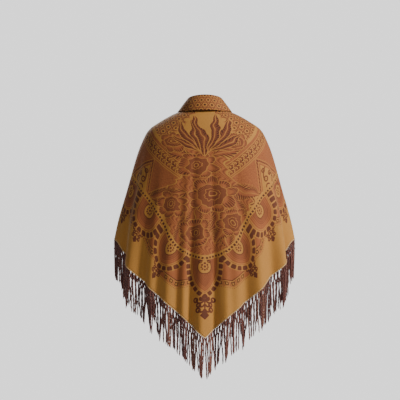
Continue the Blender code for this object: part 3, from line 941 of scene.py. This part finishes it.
def fringe_yarn():
    """The fringe: dark burgundy rayon yarn in two plies, with a sheen and painted highlight and shade along its
    turns.
    """
    material, shader = new_material("fringe_yarn")
    around, along, chance = parted(attribute("yarn"))
    twist = wave(around * 0.5 * YARN_TURN + along, YARN_TURN)
    # The yarn's own tone, made lighter and darker along the plies' turns: painted highlight and painted shade.
    colour = ramp(chance * 0.75 + twist * 0.13 + 0.13, (
        (0.0, (0.030, 0.008, 0.007)),
        (0.4, (0.085, 0.022, 0.018)),
        (0.75, (0.165, 0.055, 0.038)),
        (1.0, (0.300, 0.140, 0.085)),
    ))
    finish(shader, colour, {"Roughness": 0.42, "Sheen Weight": 0.35, "Sheen Roughness": 0.35,
                            "Sheen Tint": (1.0, 0.62, 0.52, 1.0)})
    bump(shader, twist, 0.35, 0.0006)
    return material


# The pieces

SHELL = 0.0012
COLLAR_SHELL = 0.0014
INSET = 0.0002             # how far the cloth lies under its solid's face
COLUMNS_SKIPPED = 10
ROWS_SKIPPED = 7
COLLAR_ACROSS = 8
COLLAR_DOWN = 6
ROLL_SWELL = 0.10
ROLL_TURN = 0.0075


def cut_places(hem_shares, down):
    """Where each point of the draped grid lies in the flat cut."""
    share = np.abs(hem_shares)[:, None]
    fall = down[None, :]
    x = (1 - fall) * NECK_HALF * share + fall * CUT_HALF * share
    y = (1 - fall) * CUT_DEPTH + fall * CUT_DEPTH * share
    return np.stack([np.sign(hem_shares)[:, None] * x, y], axis=-1)


def with_side(flat, back):
    return np.concatenate([flat, np.full(flat.shape[:-1] + (1,), back)], axis=-1)


def make_cloth(material):
    shares, hem_shares = even_columns()
    down = np.linspace(0.0, 1.0, ROWS + 1) ** ROW_BIAS
    outer = draped(shares, hem_height(np.abs(hem_shares)), down)
    normals = face_normals(outer)
    outer_face = outer - INSET * normals
    points, quads = shell(outer_face, outer_face - SHELL * normals)
    # The rows are spread by length along each rib, so the flat place follows the same share.
    flat = cut_places(hem_shares, down)
    stored = np.concatenate([with_side(flat, 0.0).reshape(-1, 3), with_side(flat, 1.0).reshape(-1, 3)])
    return mesh_piece("shawl_sheet", points, quads, material, {"cut": stored}), outer, normals


def make_collar(material, outer, normals):
    """The folded edge, from the same coarse grid of cloth as the CAD solid."""
    facing = normals[::COLUMNS_SKIPPED, ::ROWS_SKIPPED]
    coarse = outer[::COLUMNS_SKIPPED, ::ROWS_SKIPPED] - 0.5 * CLOTH_THICKNESS * facing
    middle, places = collar_middle(coarse, facing)
    grid = refined(middle, COLLAR_ACROSS, COLLAR_DOWN)
    along = np.interp(np.arange(grid.shape[0]) / COLLAR_ACROSS, np.arange(len(places)), places)
    across = lengths_along(grid)
    half = 0.5 * COLLAR_SHELL * face_normals(grid)
    points, quads = shell(grid + half, grid - half)
    flat = np.stack([np.broadcast_to(along[:, None], across.shape), CUT_DEPTH + across], axis=-1)
    stored = np.concatenate([with_side(flat, 0.0).reshape(-1, 3)] * 2)
    return mesh_piece("collar_sheet", points, quads, material, {"cut": stored})


def swept(name, line, radius, sides, material):
    """A thin cord along one line, as a closed tube."""
    ahead = unit(np.gradient(line, axis=0))
    level = unit(np.cross(ahead, np.array([0.0, 0.0, 1.0])))
    travelled = lengths_along(line)[:, None]
    swell = radius * (1 + ROLL_SWELL * np.sin(travelled * 2 * math.pi / ROLL_TURN + turns(sides)))
    points, quads = tubes(line[None], level[None], np.cross(level, ahead)[None], swell[None])
    return mesh_piece(name, points, quads, material, {"yarn": yarn_places(swell.shape, travelled, 0.0)})


def yarn_places(shape, along, tone):
    """What each point of a yarn keeps: its place round the yarn and along it, and the yarn's own tone."""
    around = turns(shape[-1]) / (2 * math.pi)
    return np.stack([np.broadcast_to(part, shape) for part in (around, along, tone)], axis=-1).reshape(-1, 3)


YARNS_A_SIDE = 156
YARNS_A_LOCK = 6
YARN_RADIUS = 0.0019
YARN_SIDES = 6
YARN_STEP = 0.0036
YARN_LOBE = 0.12           # how far the plies stand out
YARN_TURN = 0.0090
FRINGE_LENGTH = 0.130
# Below the knots: how far down each station is, how much a yarn there keeps to its pair, and how far it may
# stray along the hem and off it.
LOOSE_DROPS = (0.050, 0.095, 0.150)
LOOSE = ((0.55, 0.0008, 0.0010), (0.45, 0.0010, 0.0016), (0.40, 0.0012, 0.0020))
LOCK_PULL = (0.10, 0.70)       # how far the loose ends of a lock draw together
KNOT_ROWS = (0.013, 0.027)
KNOT_RISE = np.array([0.0026, 0.0014, -0.0014, -0.0026])
KNOT_WIDE = np.array([0.0013, 0.0030, 0.0030, 0.0013])
KNOT_TONE = 0.55
HEM_BELOW = 0.0024


def make_fringe(name, hem, seed, material):
    """Yarns that hang from the hem, tied across in two rows of knots and then loose."""
    chance = np.random.RandomState(seed)
    roots = even_line(hem, YARNS_A_SIDE)
    roots = 0.5 * (roots[1:] + roots[:-1])
    along = unit(np.gradient(roots, axis=0) * np.array([1.0, 1.0, 0.0]))
    off = np.stack([along[:, 1], -along[:, 0], np.zeros(len(along))], axis=-1)
    steps = int(FRINGE_LENGTH / YARN_STEP)
    fall = np.linspace(0.0, 1.0, steps + 1)
    lock = np.arange(len(roots)) // YARNS_A_LOCK
    shorter = chance.uniform(0.0, 1.0, lock[-1] + 1)[lock]
    length = FRINGE_LENGTH - 0.008 * chance.uniform(0.0, 1.0, len(roots)) - 0.009 * shorter
    drop = fall[None, :] * length[:, None]

    number = np.arange(len(roots))
    first = roots[(number // 2) * 2] * 0.5 + roots[np.minimum((number // 2) * 2 + 1, len(roots) - 1)] * 0.5
    pair = ((number + 1) // 2) * 2 - 1
    second = 0.5 * (roots[np.clip(pair, 0, len(roots) - 1)] + roots[np.clip(pair + 1, 0, len(roots) - 1)])
    side = np.where(number % 2 == 0, -1.0, 1.0)[:, None] * 0.0012 * along
    stations = np.array([0.0, *KNOT_ROWS, *LOOSE_DROPS])
    sway = np.cumsum(chance.normal(0.0, 1.0, (3, len(roots), 2)), axis=0)
    loose = [share * second + (1 - share) * roots + beside * moved[:, :1] * along + away * moved[:, 1:] * off
             for (share, beside, away), moved in zip(LOOSE, sway)]
    drift = np.stack([roots, first + side, second - side] + loose)
    centres = np.empty((len(roots), steps + 1, 3))
    slot = np.clip(np.searchsorted(stations, drop, side="right") - 1, 0, len(stations) - 2)
    share = (drop - stations[slot]) / (stations[slot + 1] - stations[slot])
    share = share * share * (3 - 2 * share)
    yarn = np.broadcast_to(number[:, None], drop.shape)
    centres = drift[slot, yarn] * (1 - share[..., None]) + drift[slot + 1, yarn] * share[..., None]
    heart = np.array([roots[lock == n].mean(axis=0) for n in range(lock[-1] + 1)])
    pull = chance.uniform(*LOCK_PULL, lock[-1] + 1)[lock][:, None] * smoothstep(0.22, 1.0, fall)[None, :]
    centres += pull[..., None] * (heart[lock] - roots)[:, None]
    base = roots[:, None, 2] - HEM_BELOW
    centres[..., 2] = base - drop
    ripple = np.sin(drop * 2 * math.pi / 0.021 + chance.uniform(0, 6.3, len(roots))[:, None])
    centres += 0.00045 * ripple[..., None] * along[:, None]

    radius = np.full(drop.shape, YARN_RADIUS) * chance.uniform(0.85, 1.12, len(roots))[:, None]
    # The strands are fullest at the shawl's point.
    radius *= (1.22 - 0.32 * smoothstep(0.0, 0.40, number / len(roots)))[:, None]
    radius *= 1.0 - 0.55 * smoothstep(0.93, 1.0, fall)[None, :]
    twist = drop * 2 * math.pi / 0.018 + chance.uniform(0, 6.3, len(roots))[:, None]
    swell = radius[..., None] * (1 + YARN_LOBE * np.cos(2 * (turns(YARN_SIDES) - twist[..., None])))
    points, quads = tubes(centres, along[:, None], off[:, None], swell)
    own_tone = chance.uniform(0.0, 1.0, len(roots))
    lock_tone = chance.uniform(0.0, 1.0, lock[-1] + 1)[lock]
    tone = 0.55 * own_tone + 0.45 * lock_tone
    stored = yarn_places(swell.shape, drop[:, :, None], tone[:, None, None])

    knots, knot_quads, knot_stored = [], [], []
    start = len(points)
    for level, where in ((KNOT_ROWS[0], first[::2]), (KNOT_ROWS[1], second[1::2])):
        count = len(where)
        middle = np.repeat(where[:, None], len(KNOT_RISE), axis=1)
        middle[..., 2] += KNOT_RISE - HEM_BELOW - level
        wide = np.broadcast_to(KNOT_WIDE[:, None], (count, len(KNOT_WIDE), YARN_SIDES))
        more, more_quads = tubes(middle, along[::2][:count, None], off[::2][:count, None], wide)
        knots.append(more)
        knot_quads.append(more_quads + start)
        start += len(more)
        tones = np.full(len(more), KNOT_TONE)
        knot_stored.append(np.stack([np.zeros(len(more)), more[:, 2], tones], axis=-1))
    return mesh_piece(name, np.concatenate([points] + knots), np.concatenate([quads] + knot_quads), material,
                      {"yarn": np.concatenate([stored] + knot_stored)})


def main():
    cloth_material = brocade()
    edge_material = cord_edge()
    yarn_material = fringe_yarn()

    cloth, outer, normals = make_cloth(cloth_material)
    collar = make_collar(cloth_material, outer, normals)
    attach(cloth, "root")
    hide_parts("shawl_cloth")
    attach(collar, "root")
    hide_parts("collar_fold")

    below = unit(outer[:, -1] - outer[:, -2])
    hem = outer[:, -1] - 0.0009 * normals[:, -1] + 0.0016 * below
    front_left = outer[0, :, :] - 0.0009 * normals[0]
    front_right = outer[-1, :, :] - 0.0009 * normals[-1]
    middle = COLUMNS_A_SIDE
    pieces = []
    for name, line, seed, node, edge in (
        ("left", hem[middle::-1], 11, "fringe_left", front_left),
        ("right", hem[middle:], 12, "fringe_right", front_right),
    ):
        rolled = swept("hem_roll_" + name, even_line(line, 640), 0.0017, 8, edge_material)
        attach(rolled, "root")
        yarns = make_fringe("fringe_yarns_" + name, line, seed, yarn_material)
        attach(yarns, "root")
        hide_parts(node)
        bound = edge[int(0.62 * len(edge)):]
        binding = swept("front_roll_" + name, even_line(bound, 160), 0.0014, 8, edge_material)
        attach(binding, "root")
        pieces += [rolled, yarns, binding]


main()

# The studio

PIXEL = 0.00305            # how much of the object one pixel of the frame covers
FRAME_PIXELS = 400
CAMERA_FAR = 8.0
BACK_PLANE_Y = -0.08       # the depth at which a pixel covers just that much
LENS_SENSOR = 36.0
MIDDLE_X = -0.0148
MIDDLE_Z = -0.2745
FLOOR_Z = -1.45


def area_light(name, place, aim, size_m, watts, colour):
    data = bpy.data.lights.new(name, "AREA")
    data.shape = "DISK"
    data.size = size_m
    data.energy = watts
    data.color = colour
    light = bpy.data.objects.new(name, data)
    light.location = place
    light.rotation_euler = (Vector(aim) - Vector(place)).to_track_quat("-Z", "Y").to_euler()
    bpy.context.scene.collection.objects.link(light)


def studio():
    camera_data = bpy.data.cameras.new("camera")
    camera_data.sensor_width = LENS_SENSOR
    camera_data.lens = LENS_SENSOR * CAMERA_FAR / (PIXEL * FRAME_PIXELS)
    camera = bpy.data.objects.new("camera", camera_data)
    camera.location = (MIDDLE_X, BACK_PLANE_Y - CAMERA_FAR, MIDDLE_Z)
    camera.rotation_euler = (math.radians(90), 0.0, 0.0)
    bpy.context.scene.collection.objects.link(camera)
    bpy.context.scene.camera = camera

    material, shader = new_material("floor_paper")
    shader.inputs["Base Color"].default_value = (0.84, 0.84, 0.84, 1.0)
    shader.inputs["Roughness"].default_value = 0.9
    reach_m = 2.2
    corners = [(-reach_m, -reach_m, FLOOR_Z), (reach_m, -reach_m, FLOOR_Z),
               (reach_m, reach_m, FLOOR_Z), (-reach_m, reach_m, FLOOR_Z)]
    mesh = bpy.data.meshes.new("floor")
    mesh.from_pydata(corners, [], [(0, 1, 2, 3)])
    mesh.materials.append(material)
    floor = bpy.data.objects.new("floor", mesh)
    bpy.context.scene.collection.objects.link(floor)

    world = bpy.data.worlds.new("studio")
    world.use_nodes = True
    # The studio's pale wall is brighter to look at than the light it sends back to the shawl.
    nodes, links = world.node_tree.nodes, world.node_tree.links
    wall = nodes["Background"]
    wall.inputs["Color"].default_value = (1.55, 1.55, 1.55, 1.0)
    ambient = nodes.new("ShaderNodeBackground")
    ambient.inputs["Color"].default_value = (0.20, 0.205, 0.215, 1.0)
    mix = nodes.new("ShaderNodeMixShader")
    seen = nodes.new("ShaderNodeLightPath")
    links.new(seen.outputs["Is Camera Ray"], mix.inputs[0])
    links.new(ambient.outputs[0], mix.inputs[1])
    links.new(wall.outputs[0], mix.inputs[2])
    links.new(mix.outputs[0], nodes["World Output"].inputs["Surface"])
    bpy.context.scene.world = world
    area_light("key", (3.2, -1.7, 1.9), (0.0, 0.0, -0.30), 0.8, 268.0, (1.0, 0.97, 0.92))
    area_light("fill", (-1.6, -3.2, 0.6), (0.0, 0.0, -0.30), 1.8, 7.0, (0.98, 0.98, 1.0))
    area_light("front", (-0.9, 3.4, 1.0), (0.0, 0.0, -0.30), 2.2, 110.0, (1.0, 0.98, 0.95))


studio()
